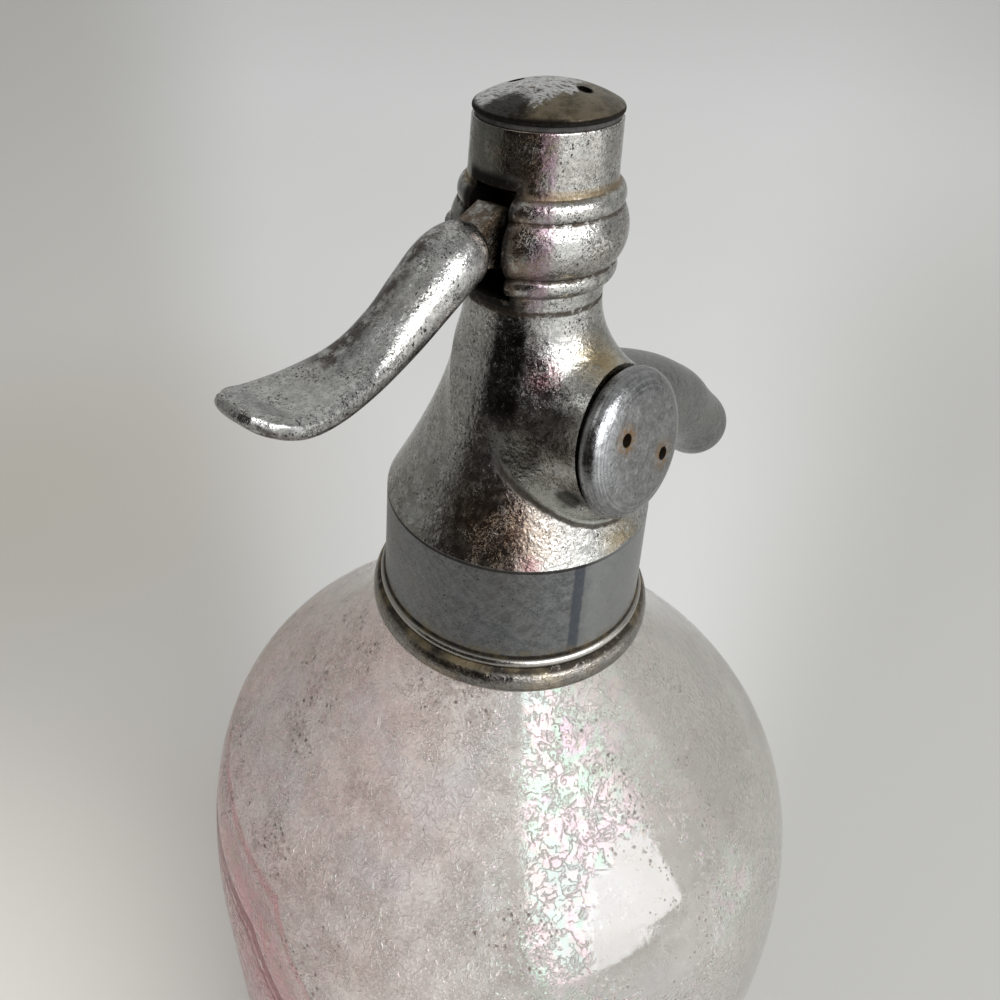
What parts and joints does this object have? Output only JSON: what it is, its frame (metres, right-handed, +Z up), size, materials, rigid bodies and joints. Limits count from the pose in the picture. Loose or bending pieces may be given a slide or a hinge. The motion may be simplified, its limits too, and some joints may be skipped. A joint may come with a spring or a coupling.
{
  "type": "soda siphon",
  "caption": "Glass soda siphon bottle with a plated head, a side spout and a thumb lever that opens a spring-loaded valve.",
  "frame": {"origin": "centre of the bottle's foot ring, on the plane that it stands on", "axes": "+Z up along the bottle's axis, +X towards the spout, -X towards the thumb lever, -Y towards the side plug"},
  "size_m": [0.1118, 0.105, 0.3024],
  "materials": {
    "bottle_glass": "thick clear glass with mineral haze inside and a worn fired-on red panel outside",
    "tube_glass": "clear glass tube, hazed",
    "head_plate": "old nickel plating, satin, pitted and tarnished",
    "collar_plate": "old nickel plating with dirt in the grooves",
    "spout_plate": "dull mottled nickel plating",
    "plug_plate": "satin turned nickel plating",
    "cap_plate": "nickel plating, partly worn to brown tarnish",
    "lever_plate": "nickel plating, pitted and scratched",
    "clamp_brass": "dull brass",
    "inner_brass": "turned brass",
    "spring_wire": "drawn spring wire",
    "pin_steel": "drawn pin, ends dull",
    "black_rubber": "matt rubber",
    "waxed_packing": "waxed hemp packing"
  },
  "bodies": {
    "siphon": {"glass_bottle": "bottle_glass", "collar_ring": "collar_plate", "neck_clamp_half_front": "clamp_brass", "neck_clamp_half_rear": "clamp_brass", "neck_gasket": "black_rubber", "head_body": "head_plate", "spout": "spout_plate", "side_plug": "plug_plate", "side_plug_washer": "black_rubber", "top_cap": "cap_plate", "top_cap_washer": "black_rubber", "valve_seat": "inner_brass", "gland_packing": "waxed_packing", "gland_washer": "inner_brass", "gland_nut": "inner_brass", "return_spring": "spring_wire", "lever_pin": "pin_steel", "dip_tube": "tube_glass", "tube_bush": "black_rubber"},
    "lever": {"lever": "lever_plate"},
    "spindle": {"spindle": "inner_brass", "spring_seat": "inner_brass", "valve_holder": "inner_brass", "valve_rubber": "black_rubber"}
  },
  "joints": [
    {"name": "lever_hinge", "type": "hinge", "parent": "siphon", "child": "lever", "pos_m": [-0.007, 0, 0.2868], "axis": [0, -1, 0], "range_deg": [0, 20], "stiffness_Nm_per_rad": 0.12, "springref_deg": -20.05},
    {"name": "spindle_slide", "type": "slide", "parent": "siphon", "child": "spindle", "axis": [0, 0, 1], "range_m": [0, 0.0018], "deforming": ["return_spring"]}
  ],
  "couplings": [
    {"joint": "spindle_slide", "follows": "lever_hinge", "m_per_rad": 0.0049}
  ]
}
